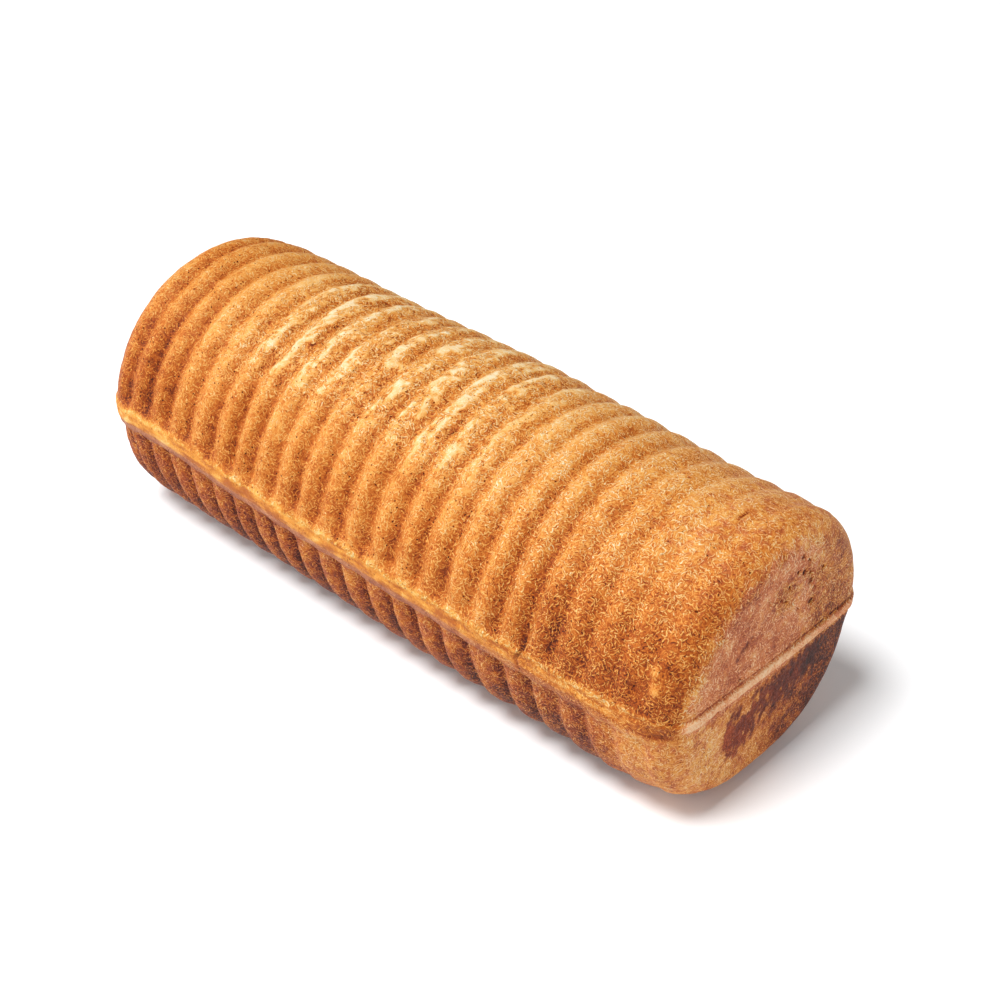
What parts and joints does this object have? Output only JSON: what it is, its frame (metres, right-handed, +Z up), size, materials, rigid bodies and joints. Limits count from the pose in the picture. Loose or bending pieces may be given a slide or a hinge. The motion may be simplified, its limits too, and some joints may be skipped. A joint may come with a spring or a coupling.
{
  "type": "tin loaf",
  "caption": "Round ribbed tin loaf lying on its side, with flat ends and a flash line where the two halves of the tin met.",
  "frame": {"origin": "under the middle of the loaf, on the surface it lies on", "axes": "+X along the loaf, towards the end face that the picture shows; +Y across it, away from the flank that the picture shows; +Z up"},
  "size_m": [0.2818, 0.1136, 0.1034],
  "materials": {
    "crust": "matte baked crust, golden tan ribs with orange-brown grooves"
  },
  "bodies": {
    "root": {"loaf": "crust"}
  },
  "joints": []
}
